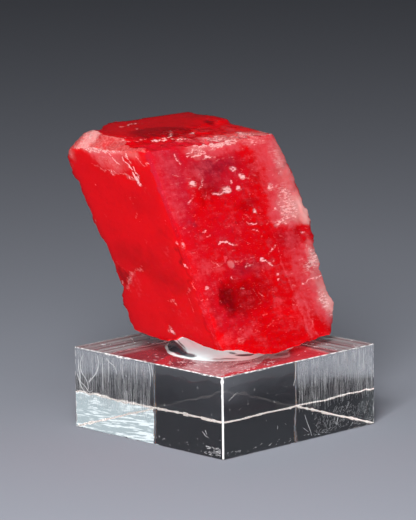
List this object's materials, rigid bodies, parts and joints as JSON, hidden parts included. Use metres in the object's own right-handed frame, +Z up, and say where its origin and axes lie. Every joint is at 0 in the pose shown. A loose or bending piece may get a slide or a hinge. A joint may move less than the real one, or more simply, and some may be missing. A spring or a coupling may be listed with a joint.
{
  "type": "rhodochrosite specimen",
  "caption": "Leaning red rhodochrosite cleavage rhomb with broken corners, set with a clear adhesive pad on a square polished acrylic display block.",
  "frame": {"origin": "centre of the acrylic block's underside", "axes": "+Z up, X and Y along the block's sides; the front of the specimen faces -X -Y, and its three cleavage edges meet at the top corner nearest that side"},
  "size_m": [0.0373, 0.0347, 0.0451],
  "materials": {
    "rhodochrosite": "clear gem red, glassy cleavage faces with pearly veils and hackly broken corners",
    "adhesive": "clear, smooth, poured",
    "acrylic": "clear, polished, frosted arrises with small chips"
  },
  "bodies": {
    "root": {"rhodochrosite_crystal": "rhodochrosite", "clear_adhesive_pad": "adhesive", "acrylic_block": "acrylic"}
  },
  "joints": []
}
